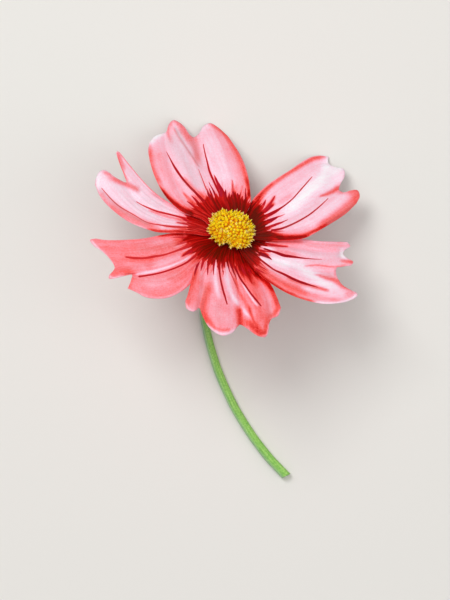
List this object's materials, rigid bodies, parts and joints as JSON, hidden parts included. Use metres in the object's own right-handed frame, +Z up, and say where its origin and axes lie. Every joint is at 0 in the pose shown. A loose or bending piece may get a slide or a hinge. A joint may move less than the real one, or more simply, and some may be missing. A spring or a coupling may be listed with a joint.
{
  "type": "cosmos flower",
  "caption": "Cut cosmos flower lying on a surface: open bloom of notched pink ray petals round a golden disc, on a bent green stem.",
  "frame": {"origin": "on the surface that the flower lies on, under the middle of its bounding box", "axes": "+Z up from the surface; +Y from the cut end of the stem toward the bloom, the long way of the flower; +X to the right as seen from above with the bloom away from the viewer"},
  "size_m": [0.0704, 0.094, 0.0463],
  "materials": {
    "petal": "soft satin petal, pale pink with coral edges and a dark crimson eye",
    "disc": "matte, powdery golden florets",
    "bract": "thin, dull olive brown, slightly translucent",
    "stem": "smooth fresh green, faint sheen"
  },
  "bodies": {
    "root": {"petal_top": "petal", "petal_upper_left": "petal", "petal_lower_left": "petal", "petal_bottom": "petal", "petal_lower_right": "petal", "petal_upper_right": "petal", "disc": "disc", "inner_bracts": "bract", "stem": "stem"}
  },
  "joints": []
}
